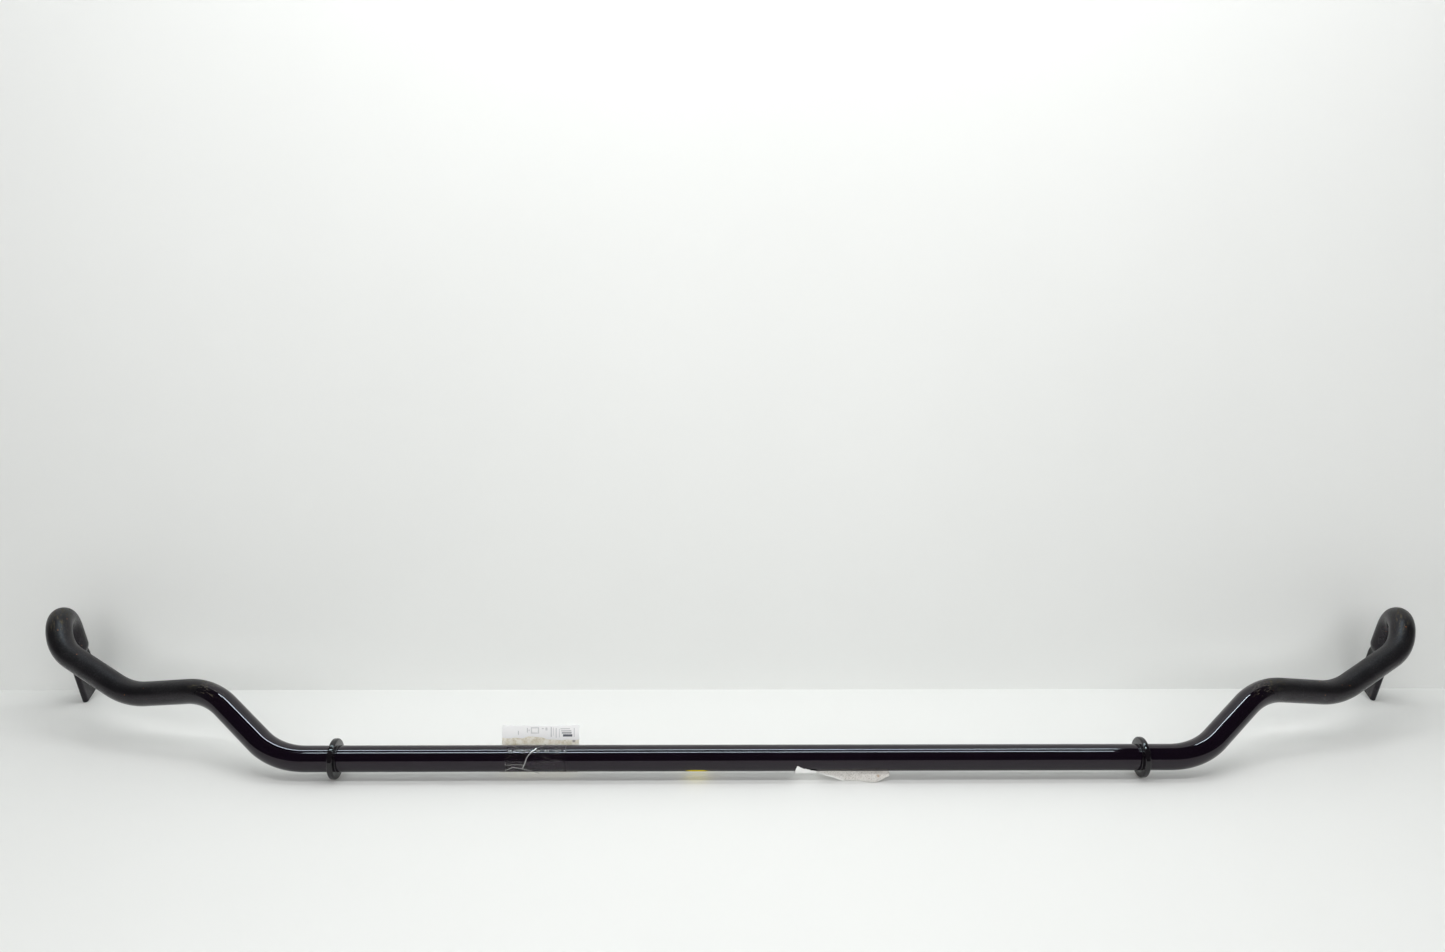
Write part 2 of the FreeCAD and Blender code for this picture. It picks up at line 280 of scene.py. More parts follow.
# Each cut end is closed by faces from one flat to the other.
steps = np.arange(1, ROUND_STEPS // 2 - 1)
cap = np.stack([steps, steps + 1, -(steps + 1) % ROUND_STEPS, -steps % ROUND_STEPS], axis=1)
tip = np.array([(0, 1, ROUND_STEPS - 1), (ROUND_STEPS // 2 - 1, ROUND_STEPS // 2, ROUND_STEPS // 2 + 1)])
faces = [*skin[kept].tolist()]
for group in holes:
    faces += group.tolist()
for ends in (cap, tip):
    faces += index[-1][ends].tolist() + index[0][ends][:, ::-1].tolist()


def make_piece(name, vertices, faces, fields=(), material=None, stands_for=(), body="root"):
    """A smooth-shaded mesh object. fields are named values at each vertex, one number or three."""
    mesh = bpy.data.meshes.new(name)
    mesh.from_pydata(np.asarray(vertices, float).reshape(-1, 3), [], faces)
    mesh.polygons.foreach_set("use_smooth", np.ones(len(mesh.polygons), bool))
    for field, values in dict(fields).items():
        values = np.asarray(values, np.float32).reshape(len(mesh.vertices), -1)
        kind, key = ("FLOAT", "value") if values.shape[1] == 1 else ("FLOAT_VECTOR", "vector")
        mesh.attributes.new(field, kind, "POINT").data.foreach_set(key, values.ravel())
    mesh.validate()
    mesh.update()
    piece = bpy.data.objects.new(name, mesh)
    bpy.context.scene.collection.objects.link(piece)
    if material:
        mesh.materials.append(material)
    if stands_for:
        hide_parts(*stands_for)
    if body:
        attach(piece, body)
    return piece


def colour(code):
    """An sRGB hex colour as linear light: c / 12.92 up to 0.04045, above it ((c + 0.055) / 1.055) ^ 2.4."""
    parts = [int(code[i:i + 2], 16) / 255 for i in (1, 3, 5)]
    return (*[c / 12.92 if c <= 0.04045 else ((c + 0.055) / 1.055) ** 2.4 for c in parts], 1)


def add_node(tree, kind, inputs=(), **settings):
    """Adds one shader node. inputs pairs a socket's name or number with a value or another node's output."""
    node = tree.nodes.new("ShaderNode" + kind)
    for name, value in settings.items():
        setattr(node, name, value)
    for socket, value in dict(inputs).items():
        if isinstance(value, bpy.types.NodeSocket):
            tree.links.new(value, node.inputs[socket])
        else:
            node.inputs[socket].default_value = value
    return node


def new_material(name):
    """An empty node material, its tree and its output node."""
    material = bpy.data.materials.new(name)
    material.use_nodes = True
    material.node_tree.nodes.clear()
    return material, material.node_tree, material.node_tree.nodes.new("ShaderNodeOutputMaterial")


def make_black_enamel():
    """Dipped black enamel on steel: mirror gloss with a faint plum cast, satin and dusty in 'weathering'.

    'laid_out' is each point's place on the tube before it was bent, so scuffs and dust run along the tube.
    """
    material, tree, output = new_material("dipped_black_enamel")
    laid_out = add_node(tree, "Attribute", attribute_name="laid_out").outputs["Vector"]
    weathering = add_node(tree, "Attribute", attribute_name="weathering").outputs["Fac"]
    scuffing = add_node(tree, "Attribute", attribute_name="scuffing").outputs["Fac"]
    paint_mark = add_node(tree, "Attribute", attribute_name="paint_mark").outputs["Fac"]

    # A pattern's scale is how many of its grains go to a millimetre. Dust: grains about a millimetre across,
    # thicker in soft patches a few centimetres long.
    grains = add_node(
        tree, "TexNoise", {"Vector": laid_out, "Scale": 0.9 / MM, "Detail": 4, "Roughness": 0.7}
    )
    patches = add_node(
        tree, "TexNoise", {"Vector": laid_out, "Scale": 0.045 / MM, "Detail": 3, "Roughness": 0.6}
    )
    grain_amount = add_node(tree, "MapRange", {0: grains.outputs["Fac"], 1: 0.45, 2: 0.75, 3: 0.0, 4: 1.0})
    patch_amount = add_node(tree, "MapRange", {0: patches.outputs["Fac"], 1: 0.35, 2: 0.7, 3: 0.2, 4: 1.0})
    dust = add_node(
        tree, "Math", {0: grain_amount.outputs[0], 1: patch_amount.outputs[0]}, operation="MULTIPLY"
    )
    dust = add_node(tree, "Math", {0: dust.outputs[0], 1: weathering}, operation="MULTIPLY")

    # Scuffs: scratches some 6 mm long that show dull primer. Rust: rare specks about a millimetre wide.
    stretched = add_node(tree, "Mapping", {"Vector": laid_out, "Scale": (0.25, 1, 1)})
    scratches = add_node(
        tree, "TexNoise", {"Vector": stretched.outputs[0], "Scale": 0.7 / MM, "Detail": 5, "Roughness": 0.75}
    )
    scratch_edge = add_node(tree, "MapRange", {0: scratches.outputs["Fac"], 1: 0.54, 2: 0.64, 3: 0.0, 4: 1.0})
    scuffs = add_node(tree, "Math", {0: scratch_edge.outputs[0], 1: scuffing}, operation="MULTIPLY")
    specks = add_node(tree, "TexVoronoi", {"Vector": laid_out, "Scale": 0.26 / MM, "Randomness": 1.0})
    speck_size = add_node(tree, "MapRange", {0: specks.outputs["Distance"], 1: 0.1, 2: 0.16, 3: 1.0, 4: 0.0})
    rare = add_node(tree, "SeparateColor", {0: specks.outputs["Color"]})
    rare = add_node(tree, "MapRange", {0: rare.outputs[0], 1: 0.9, 2: 0.94, 3: 0.0, 4: 1.0})
    specks = add_node(tree, "Math", {0: speck_size.outputs[0], 1: rare.outputs[0]}, operation="MULTIPLY")
    specks = add_node(tree, "Math", {0: specks.outputs[0], 1: weathering}, operation="MULTIPLY")

    tone = add_node(
        tree, "Mix", {0: patches.outputs["Fac"], 6: colour("#0b050d"), 7: colour("#0f0812")}, data_type="RGBA"
    )
    tone = add_node(tree, "Mix", {0: weathering, 6: tone.outputs[2], 7: colour("#121113")}, data_type="RGBA")
    tone = add_node(
        tree, "Mix", {0: dust.outputs[0], 6: tone.outputs[2], 7: colour("#3a3a3b")}, data_type="RGBA"
    )
    tone = add_node(
        tree, "Mix", {0: scuffs.outputs[0], 6: tone.outputs[2], 7: colour("#605a48")}, data_type="RGBA"
    )
    tone = add_node(
        tree, "Mix", {0: specks.outputs[0], 6: tone.outputs[2], 7: colour("#8a5a34")}, data_type="RGBA"
    )
    tone = add_node(tree, "Mix", {0: paint_mark, 6: tone.outputs[2], 7: colour("#e8d21e")}, data_type="RGBA")

    gloss = add_node(tree, "MapRange", {0: patches.outputs["Fac"], 1: 0.3, 2: 0.7, 3: 0.03, 4: 0.055})
    satin = add_node(tree, "MapRange", {0: patches.outputs["Fac"], 1: 0.3, 2: 0.7, 3: 0.34, 4: 0.46})
    roughness = add_node(tree, "Mix", {0: weathering, 2: gloss.outputs[0], 3: satin.outputs[0]})
    roughness = add_node(tree, "Math", {0: roughness.outputs[0], 1: scuffs.outputs[0]}, operation="ADD")
    roughness = add_node(
        tree, "Math", {0: roughness.outputs[0], 1: paint_mark}, operation="ADD", use_clamp=True
    )

    # Orange peel: waves some 8 mm long in the dried paint, which make a reflected line wander a little.
    peel = add_node(tree, "TexNoise", {"Vector": laid_out, "Scale": 0.12 / MM, "Detail": 1})
    bump = add_node(tree, "Bump", {"Strength": 0.03, "Distance": 0.4 * MM, "Height": peel.outputs["Fac"]})
    bump = add_node(
        tree, "Bump",
        {"Strength": 0.5, "Distance": 0.1 * MM, "Height": dust.outputs[0], "Normal": bump.outputs[0]},
    )
    # The dusty satin skin of the arms scatters less of the room back than the clean gloss does.
    shine = add_node(tree, "MapRange", {0: weathering, 3: 0.5, 4: 0.26})
    paint = add_node(
        tree, "BsdfPrincipled",
        {"Base Color": tone.outputs[2], "Roughness": roughness.outputs[0], "IOR": 1.48,
         "Specular IOR Level": shine.outputs[0], "Specular Tint": colour("#fbf2fb"),
         "Normal": bump.outputs[0]},
    )
    tree.links.new(paint.outputs[0], output.inputs["Surface"])
    return material


black_enamel = make_black_enamel()

# Places along and round the tube. The gloss ends where the kick meets the shelf, and scuffs gather there and
# on top of the hooks. A dab of yellow paint lies under the tube near its middle.
SATIN_FROM = 452 * MM
SATIN_TO = 478 * MM
KICK_SCUFFS = 468 * MM
KICK_SCUFFS_SPREAD = 16 * MM
HOOK_SCUFFS = 668 * MM
HOOK_SCUFFS_SPREAD = 22 * MM
MARK_PLACE = -35.4 * MM
MARK_WIDTH = 12.6 * MM
MARK_EDGE = 0.5 * MM

reach = np.abs(travel)[:, None]
laid_out = np.stack([
    np.repeat(travel[:, None], ROUND_STEPS, axis=1),
    np.repeat(BAR_RADIUS * circle[:1], rows, axis=0),
    np.repeat(BAR_RADIUS * circle[1:], rows, axis=0),
], axis=-1)
normal_up = (shell - np.concatenate([centres[:0:-1] * [-1, 1, 1], centres])[:, None])[..., 2] / BAR_RADIUS
weathering = smooth(reach, SATIN_FROM, SATIN_TO) * (0.55 + 0.45 * smooth(normal_up, -0.6, 0.8))
scuffing = smooth(normal_up, 0.2, 0.9) * (
    np.exp(-(((reach - KICK_SCUFFS) / KICK_SCUFFS_SPREAD) ** 2))
    + 0.8 * np.exp(-(((reach - HOOK_SCUFFS) / HOOK_SCUFFS_SPREAD) ** 2))
)
under = smooth(-normal_up, 0.62, 0.72)
from_mark = np.abs(travel[:, None] - MARK_PLACE)
mark = under * (1 - smooth(from_mark, MARK_WIDTH / 2 - MARK_EDGE, MARK_WIDTH / 2))


def at_each_vertex(values):
    """The skin's values at every vertex: an eye's rings lie between the square round it and its centre."""
    values = np.asarray(values, float).reshape(rows * ROUND_STEPS, -1)
    return values[middle] + (values[border] - values[middle]) * reach_out[:, None]


make_piece(
    "stabilizer_bar_steel",
    np.concatenate(vertices),
    faces,
    fields={
        "laid_out": at_each_vertex(laid_out),
        "weathering": at_each_vertex(weathering),
        "scuffing": at_each_vertex(scuffing),
        "paint_mark": at_each_vertex(mark),
    },
    material=black_enamel,
    stands_for=["stabilizer_bar"],
)

# --------------------------------------------------------------------------------------------------
# The two stop collars: plain steel rings crimped on the tube outboard of where its rubber bushes sit, and
# painted with it. Each rim is rounded, and the paint has run into a small bead where the ring meets the tube.

COLLAR_PLACE = 327.0 * MM
COLLAR_HALF_WIDTH = 2.4 * MM
COLLAR_ROUNDING = 1.5 * MM
BEAD = 0.5 * MM
COLLAR_STEPS = 144


def turned_ring(profile, place, steps):
    """A ring about the X axis: the profile's points (along, radius) carried round it, and its faces."""
    angle = np.linspace(0, 2 * np.pi, steps, endpoint=False)[:, None]
    along, radius = np.asarray(profile).T
    points = np.stack(
        [place + along + 0 * angle, radius * np.cos(angle), radius * np.sin(angle)], axis=-1
    )
    index = np.arange(points[..., 0].size).reshape(points.shape[:2])
    index = np.pad(index, 1, mode="wrap")[1:, 1:]
    return points.reshape(-1, 3), band(index[:-1], index[1:]).tolist()


quarter = np.linspace(0, np.pi / 2, 8)
bead_profile = np.stack([
    COLLAR_HALF_WIDTH + BEAD * (1 - np.sin(quarter)),
    BAR_RADIUS + BEAD * (1 - np.cos(quarter)),
])
rim_profile = np.stack([
    COLLAR_HALF_WIDTH - COLLAR_ROUNDING * (1 - np.cos(quarter)),
    STANDING_RADIUS - COLLAR_ROUNDING * (1 - np.sin(quarter)),
])
outboard = np.concatenate([bead_profile, rim_profile], axis=1).T
collar_profile = np.concatenate([outboard, outboard[::-1] * [-1, 1]])


def make_collar_enamel():
    """The same dipped enamel on a small turned ring: glossy and uneven, with rust where it stands."""
    material, tree, output = new_material("collar_enamel")
    place = add_node(tree, "TexCoord").outputs["Object"]
    cloud = add_node(tree, "TexNoise", {"Vector": place, "Scale": 0.16 / MM, "Detail": 3})
    tone = add_node(
        tree, "Mix", {0: cloud.outputs["Fac"], 6: colour("#0b080c"), 7: colour("#1a171a")}, data_type="RGBA"
    )
    roughness = add_node(tree, "MapRange", {0: cloud.outputs["Fac"], 1: 0.3, 2: 0.7, 3: 0.06, 4: 0.12})
    rust = add_node(tree, "TexNoise", {"Vector": place, "Scale": 0.42 / MM, "Detail": 4, "Roughness": 0.7})
    rust = add_node(tree, "MapRange", {0: rust.outputs["Fac"], 1: 0.5, 2: 0.62, 3: 0.0, 4: 1.0})
    foot = add_node(tree, "SeparateXYZ", {0: place})
    foot = add_node(tree, "MapRange", {0: foot.outputs["Z"], 1: -14.5 * MM, 2: -15.8 * MM, 3: 0.0, 4: 1.0})
    rust = add_node(tree, "Math", {0: rust.outputs[0], 1: foot.outputs[0]}, operation="MULTIPLY")
    tone = add_node(
        tree, "Mix", {0: rust.outputs[0], 6: tone.outputs[2], 7: colour("#a8762a")}, data_type="RGBA"
    )
    roughness = add_node(
        tree, "Math", {0: roughness.outputs[0], 1: rust.outputs[0]}, operation="ADD", use_clamp=True
    )
    bump = add_node(tree, "Bump", {"Strength": 0.1, "Distance": 0.3 * MM, "Height": cloud.outputs["Fac"]})
    paint = add_node(
        tree, "BsdfPrincipled",
        {"Base Color": tone.outputs[2], "Roughness": roughness.outputs[0], "IOR": 1.48,
         "Normal": bump.outputs[0]},
    )
    tree.links.new(paint.outputs[0], output.inputs["Surface"])
    return material


collar_enamel = make_collar_enamel()
for name, place in (("left_stop_collar", -COLLAR_PLACE), ("right_stop_collar", COLLAR_PLACE)):
    points, ring_faces = turned_ring(collar_profile, place, COLLAR_STEPS)
    make_piece(
        name + "_ring", points, ring_faces, material=collar_enamel, stands_for=[name]
    )

# --------------------------------------------------------------------------------------------------
# The clear packing tape: a film once round the tube, of which only the glints, the creases and the cut
# edges show; the glints, and part of the creases' white, are painted highlights. It holds the paper label's
# foot, and has been squeezed into a diagonal fold.

TAPE_PLACE = -164.6 * MM
TAPE_WIDTH = 48.0 * MM
TAPE_INNER = 10.55 * MM
TAPE_FILM = 0.12 * MM
TAPE_GRID = 0.3 * MM
# The film's ends overlap by 20 degrees at the back.
TAPE_START = 20
TAPE_END = 400
TAPE_STEPS = 210
# Where the painted glints lie: their angle round the tube in degrees and their spread in radians.
GLINT_ANGLE = 124
GLINT_SPREAD = 0.09
BELLY_PLACE = -156.0 * MM
BELLY_LENGTH = 13.0 * MM
BELLY_ANGLE = 258
BELLY_SPREAD = 0.35


def from_line(x, angle, line):
    """Distance over the tube's skin from a line of points, each a place along the tube in mm and an angle."""
    line = np.array(line, float)
    flat = np.stack([line[:, 0] * MM, np.radians(line[:, 1]) * BAR_RADIUS], axis=1)
    point = np.stack([x, angle * BAR_RADIUS], axis=-1)
    nearest = np.full(x.shape, np.inf)
    for start, end in zip(flat, flat[1:]):
        share = np.clip((point - start) @ (end - start) / ((end - start) @ (end - start)), 0, 1)
        away = point - start - share[..., None] * (end - start)
        nearest = np.minimum(nearest, np.linalg.norm(away, axis=-1))
    return nearest


def closed_sheet(outer, inner):
    """Points and faces of a thin closed shell: two grids of one shape, and a wall round their border."""
    shape = outer.shape[:2]
    top = np.arange(outer[..., 0].size).reshape(shape)
    bottom = top + top.size
    edge = np.concatenate([top[0, :-1], top[:-1, -1], top[-1, :0:-1], top[:0:-1, 0]])
    edge = np.append(edge, edge[0])
    faces = [
        band(top[:-1], top[1:])[:, ::-1],
        band(bottom[:-1], bottom[1:]),
        band(edge, edge + top.size),
    ]
    return np.concatenate([outer.reshape(-1, 3), inner.reshape(-1, 3)]), np.concatenate(faces).tolist()


def twice(values):
    """The same values for a sheet's outer and inner sides."""
    return np.concatenate([values.reshape(-1), values.reshape(-1)])


tape_columns = round(TAPE_WIDTH / TAPE_GRID)
tape_x = np.linspace(TAPE_PLACE - TAPE_WIDTH / 2, TAPE_PLACE + TAPE_WIDTH / 2, tape_columns)
tape_angle = np.radians(np.linspace(TAPE_START, TAPE_END, TAPE_STEPS + 1))
tape_x, tape_angle = np.meshgrid(tape_x, tape_angle)
# Each fold: how far it stands off in mm, its half width in mm, how white it shows (film whitened by air under
# it, and a painted highlight), and its line of places along the tube in mm with angles round it in degrees.
folds = (
    (0.8, 0.55, 1.0, ((-164.4, 114), (-166.0, 124), (-168.4, 133))),
    (0.4, 0.35, 0.75, ((-168.4, 133), (-171.2, 153), (-172.6, 176), (-174.7, 201))),
    (0.3, 0.3, 0.4, ((-157.8, 79), (-160.5, 95), (-165.0, 116))),
    (0.3, 0.35, 0.45, ((-188.8, 176), (-187.6, 186), (-181.0, 183), (-175.5, 184), (-173.6, 188))),
    (0.4, 0.38, 0.7, ((-188.8, 214), (-182.7, 196), (-174.7, 204), (-168.3, 218), (-162.5, 243))),
    (0.2, 0.3, 0.2, ((-150.0, 100), (-147.0, 122), (-148.5, 140))),
    (0.2, 0.3, 0.25, ((-184.0, 95), (-179.0, 112), (-182.0, 128))),
    (0.15, 0.3, 0.1, ((-158.0, 150), (-152.0, 163), (-143.0, 170))),
)
lift = np.zeros(tape_x.shape)
crease_white_and_highlight = np.zeros(tape_x.shape)
for height, width, white, line in folds:
    ridge = np.exp(-((from_line(tape_x, tape_angle, line) / (width * MM)) ** 2))
    lift = lift + height * MM * ridge
    crease_white_and_highlight = np.maximum(crease_white_and_highlight, white * ridge**2)
# Slack between the folds: long shallow ripples, and a loose belly under the tube's right half.
ripple = 0.05 * np.sin(tape_x / (2.9 * MM) + 3 * tape_angle) * np.sin(2.3 * tape_angle + tape_x / (7 * MM))
ripple = ripple + 0.012 * np.sin(tape_x / (0.55 * MM) - 5 * tape_angle)
belly = 1.2 * np.exp(-(((tape_x - BELLY_PLACE) / BELLY_LENGTH) ** 2))
belly = belly * np.exp(-(((tape_angle - np.radians(BELLY_ANGLE)) / BELLY_SPREAD) ** 2))
overlap = 0.2 * smooth(tape_angle, np.radians(372), np.radians(384))
# The band round the tube in which glints of light are painted on as white dashes.
painted_glints = np.exp(-(((tape_angle - np.radians(GLINT_ANGLE)) / GLINT_SPREAD) ** 2))
tape_radius = TAPE_INNER + lift + (0.16 + ripple + belly + overlap) * MM


def round_tube(x, radius, angle):
    """Points about the X axis from places along it, radii and angles from +Y towards +Z."""
    return np.stack([x, radius * np.cos(angle), radius * np.sin(angle)], axis=-1)


def make_clear_tape():
    """Clear polypropylene film: see-through, faintly milky, white where it is creased, partly from air under
    it and partly as a painted highlight, and with painted glints.
    """
    material, tree, output = new_material("clear_packing_tape")
    place = add_node(tree, "TexCoord").outputs["Object"]
    crease_white_and_highlight = add_node(tree, "Attribute", attribute_name="crease_white_and_highlight").outputs["Fac"]
    cloud = add_node(tree, "TexNoise", {"Vector": place, "Scale": 0.26 / MM, "Detail": 4, "Roughness": 0.65})
    milk = add_node(tree, "MapRange", {0: cloud.outputs["Fac"], 1: 0.45, 2: 0.8, 3: 0.005, 4: 0.04})
    # Painted highlights: in a band round the tube where the lamps' lines are reflected, bright dashes about a
    # millimetre long are painted white into the film, as glints off its ripples.
    painted_glints = add_node(tree, "Attribute", attribute_name="painted_glints").outputs["Fac"]
    stretched = add_node(tree, "Mapping", {"Vector": place, "Scale": (0.4, 1, 1)})
    dashes = add_node(tree, "TexNoise", {"Vector": stretched.outputs[0], "Scale": 2 / MM, "Detail": 2})
    dashes = add_node(tree, "MapRange", {0: dashes.outputs["Fac"], 1: 0.58, 2: 0.66, 3: 0.0, 4: 0.9})
    dashes = add_node(tree, "Math", {0: dashes.outputs[0], 1: painted_glints}, operation="MULTIPLY")
    # Painted highlights: the glint dashes join the creases' white, which is partly air under the film and
    # partly a painted highlight.
    crease_white_and_highlight = add_node(tree, "Math", {0: dashes.outputs[0], 1: crease_white_and_highlight}, operation="MAXIMUM").outputs[0]
    cover = add_node(tree, "Math", {0: milk.outputs[0], 1: crease_white_and_highlight}, operation="ADD", use_clamp=True)
    tone = add_node(tree, "Mix", {0: crease_white_and_highlight, 6: colour("#6c6a66"), 7: colour("#f8f8f8")}, data_type="RGBA")
    roughness = add_node(tree, "MapRange", {0: cloud.outputs["Fac"], 1: 0.3, 2: 0.8, 3: 0.06, 4: 0.22})
    bump = add_node(tree, "Bump", {"Strength": 0.2, "Distance": 0.2 * MM, "Height": cloud.outputs["Fac"]})
    film = add_node(
        tree, "BsdfPrincipled",
        {"Base Color": tone.outputs[2], "Roughness": roughness.outputs[0], "IOR": 1.49,
         "Alpha": cover.outputs[0], "Normal": bump.outputs[0]},
    )
    tree.links.new(film.outputs[0], output.inputs["Surface"])
    return material


tape_points, tape_faces = closed_sheet(
    round_tube(tape_x, tape_radius + TAPE_FILM, tape_angle), round_tube(tape_x, tape_radius, tape_angle)
)
make_piece(
    "clear_tape_film", tape_points, tape_faces, fields={"crease_white_and_highlight": twice(crease_white_and_highlight), "painted_glints": twice(painted_glints)},
    material=make_clear_tape(), stands_for=["clear_tape_wrap"],
)

# --------------------------------------------------------------------------------------------------
# The paper label: a white sheet whose foot goes round under the tube over the tape, and whose free part
# stands up behind it. Old glue has yellowed a strip along its foot, and its print is generic boxes, bars
# and dashes.

LABEL_LEFT = -195.0 * MM
LABEL_WIDTH = 63.0 * MM
LABEL_FOOT = math.radians(98)
LABEL_LEAN = math.radians(8)
LABEL_STAND = 24.0 * MM
PAPER = 0.12 * MM

label_inner = 11.0 * MM
across = np.linspace(0, LABEL_WIDTH, 241)
foot_angle = np.linspace(-LABEL_FOOT, -LABEL_LEAN, 30, endpoint=False)
stand = np.linspace(0, LABEL_STAND, 97)
stand_share = stand / LABEL_STAND
foot_line = round_tube(np.zeros(len(foot_angle)), label_inner, foot_angle)[:, 1:]
stand_start = label_inner * np.array([math.cos(LABEL_LEAN), -math.sin(LABEL_LEAN)])
stand_line = stand_start + stand[:, None] * np.array([math.sin(LABEL_LEAN), math.cos(LABEL_LEAN)])
line = np.concatenate([foot_line, stand_line])
line_normal = np.gradient(line, axis=0)
line_normal = unit(np.stack([line_normal[:, 1], -line_normal[:, 0]], axis=1))
free = np.concatenate([np.zeros(len(foot_angle)), stand_share])[:, None]
# The free part waves a little along its length, and its top edge curls back at the corners.
curl = np.sin(across / (8 * MM) + 0.6) * 0.35 + np.sin(across / (3.7 * MM)) * 0.1
corner_curl = (2 * across / LABEL_WIDTH - 1) ** 6
off = (free**1.5 * curl + free**2 * corner_curl * 1.2) * MM
paper_at = line[:, None] + line_normal[:, None] * off[..., None]
# Its top edge was torn from a roll: it dips and rises by a few tenths of a millimetre.
paper_at[..., 1] += free**8 * (np.sin(across / (2.3 * MM)) + np.sin(across / (0.9 * MM))) * 0.12 * MM
label_x = np.broadcast_to(LABEL_LEFT + across, off.shape)
inner_side = np.concatenate([label_x[..., None], paper_at], axis=-1)
no_shift = 0 * off[..., None]
outer_side = inner_side + np.concatenate([no_shift, line_normal[:, None] * (PAPER + no_shift)], axis=-1)


def block(x, z, left, right, low, high, blur=0.12 * MM):
    """1 inside a rectangle in millimetres, 0 outside, with soft edges as ink on cheap paper has."""
    inside = np.minimum(np.minimum(x - left * MM, right * MM - x), np.minimum(z - low * MM, high * MM - z))
    return smooth(inside, -blur, blur)


height = inner_side[..., 2] + 0 * label_x
ink = np.zeros(label_x.shape)
marks = [
    # An empty box with a tick beside it, and a row of dashes.
    (0.35, -171.4, -164.6, 15.6, 20.8), (-1.0, -170.4, -165.6, 16.5, 19.9), (0.4, -174.6, -173.9, 16.4, 20.2),
    (0.3, -173.4, -172.4, 17.6, 19.0), (0.4, -181.9, -181.2, 14.6, 17.8),
    (0.35, -162.6, -160.6, 19.4, 20.3), (0.35, -159.6, -157.8, 18.2, 20.6),
    # Upright bars.
    (0.4, -155.2, -154.3, 13.0, 21.0), (0.35, -153.2, -152.7, 14.0, 20.6), (0.3, -151.2, -150.3, 12.2, 20.2),
    # A table of four printed lines, the lower ones heavier, and a thin rule beside it.
    (0.35, -147.4, -139.6, 19.0, 19.8), (0.45, -146.8, -138.4, 17.3, 18.2), (0.6, -146.2, -138.2, 15.4, 16.8),
    (0.95, -145.2, -137.6, 13.0, 14.9), (0.35, -148.4, -147.8, 12.4, 19.4), (0.4, -136.4, -135.8, 12.6, 19.8),
]
for strength, left, right, low, high in marks:
    shape = block(label_x, height, left, right, low, high)
    ink = np.maximum(ink, strength * shape) if strength > 0 else ink * (1 - shape)
# The glue reaches 12 mm up, with a hump left of the middle and less at the right, and its edge is uneven.
# Under the tube the paper has browned, and a smudge of ink sits near the right end.
glue_hump = 1.5 * np.exp(-(((label_x / MM + 170) / 6) ** 2))
glue_edge = (12.0 + glue_hump - 1.6 * smooth(label_x / MM, -164, -150)) * MM
uneven = 0.3 * MM * np.sin(label_x / (1.7 * MM))
glue = 1 - smooth(height + uneven, glue_edge - 0.4 * MM, glue_edge + 0.2 * MM)
aged = smooth(-height, -2 * MM, 6 * MM)
smudge = 0.9 * np.exp(-(((label_x / MM + 136.4) / 1.2) ** 2) - ((height / MM - 9.4) / 0.8) ** 2)
ink = np.maximum(ink, smudge)


def make_label_paper():
    """Coated white label paper, matt: printed in 'ink', yellowed by glue in 'glue', browned in 'aged'."""
    material, tree, output = new_material("printed_label_paper")
    place = add_node(tree, "TexCoord").outputs["Object"]
    ink = add_node(tree, "Attribute", attribute_name="ink").outputs["Fac"]
    glue = add_node(tree, "Attribute", attribute_name="glue").outputs["Fac"]
    aged = add_node(tree, "Attribute", attribute_name="aged").outputs["Fac"]
    # The fibres are drawn about 0.7 mm wide, coarser than real ones, so that they show.
    fibre = add_node(tree, "TexNoise", {"Vector": place, "Scale": 1.5 / MM, "Detail": 3, "Roughness": 0.6})
    stain = add_node(tree, "TexNoise", {"Vector": place, "Scale": 0.23 / MM, "Detail": 4, "Roughness": 0.7})
    paper = add_node(
        tree, "Mix", {0: fibre.outputs["Fac"], 6: colour("#fafafa"), 7: colour("#ffffff")}, data_type="RGBA"
    )
    stain = add_node(tree, "MapRange", {0: stain.outputs["Fac"], 1: 0.4, 2: 0.66, 3: 0.0, 4: 1.0})
    brown = add_node(
        tree, "Mix", {0: stain.outputs[0], 6: colour("#fefbf0"), 7: colour("#d8cfb4")}, data_type="RGBA"
    )
    brown = add_node(tree, "Mix", {0: aged, 6: brown.outputs[2], 7: colour("#84734e")}, data_type="RGBA")
    tone = add_node(tree, "Mix", {0: glue, 6: paper.outputs[2], 7: brown.outputs[2]}, data_type="RGBA")
    tone = add_node(tree, "Mix", {0: ink, 6: tone.outputs[2], 7: colour("#50525c")}, data_type="RGBA")
    roughness = add_node(tree, "MapRange", {0: glue, 3: 0.75, 4: 0.4})
    bump = add_node(tree, "Bump", {"Strength": 0.3, "Distance": 0.08 * MM, "Height": fibre.outputs["Fac"]})
    sheet = add_node(
        tree, "BsdfPrincipled",
        {"Base Color": tone.outputs[2], "Roughness": roughness.outputs[0], "Normal": bump.outputs[0]},
    )
    tree.links.new(sheet.outputs[0], output.inputs["Surface"])
    return material


label_points, label_faces = closed_sheet(outer_side, inner_side)
# The print is on the side that looks over the bar, and only shows through faintly behind.
make_piece(
    "paper_label_sheet", label_points, label_faces,
    fields={
        "ink": np.concatenate([0.2 * ink.ravel(), ink.ravel()]),
        "glue": twice(glue),
        "aged": twice(aged),
    },
    material=make_label_paper(), stands_for=["paper_label"],
)

# --------------------------------------------------------------------------------------------------
# What is left of a torn sticker: a strip still glued round the tube's underside, torn to a point at its left
# end, and a peeled flap that hangs from it and all but rests on the floor, its soiled glue side to the front.

STICKER_LEFT = 44.0 * MM
STICKER_RIGHT = 118.0 * MM
STICKER_INNER = 10.56 * MM
STICKER_PAPER = 0.14 * MM

strip_x = np.linspace(STICKER_LEFT, STICKER_RIGHT, 186)
back = np.linspace(0, 1, 60)[:, None]
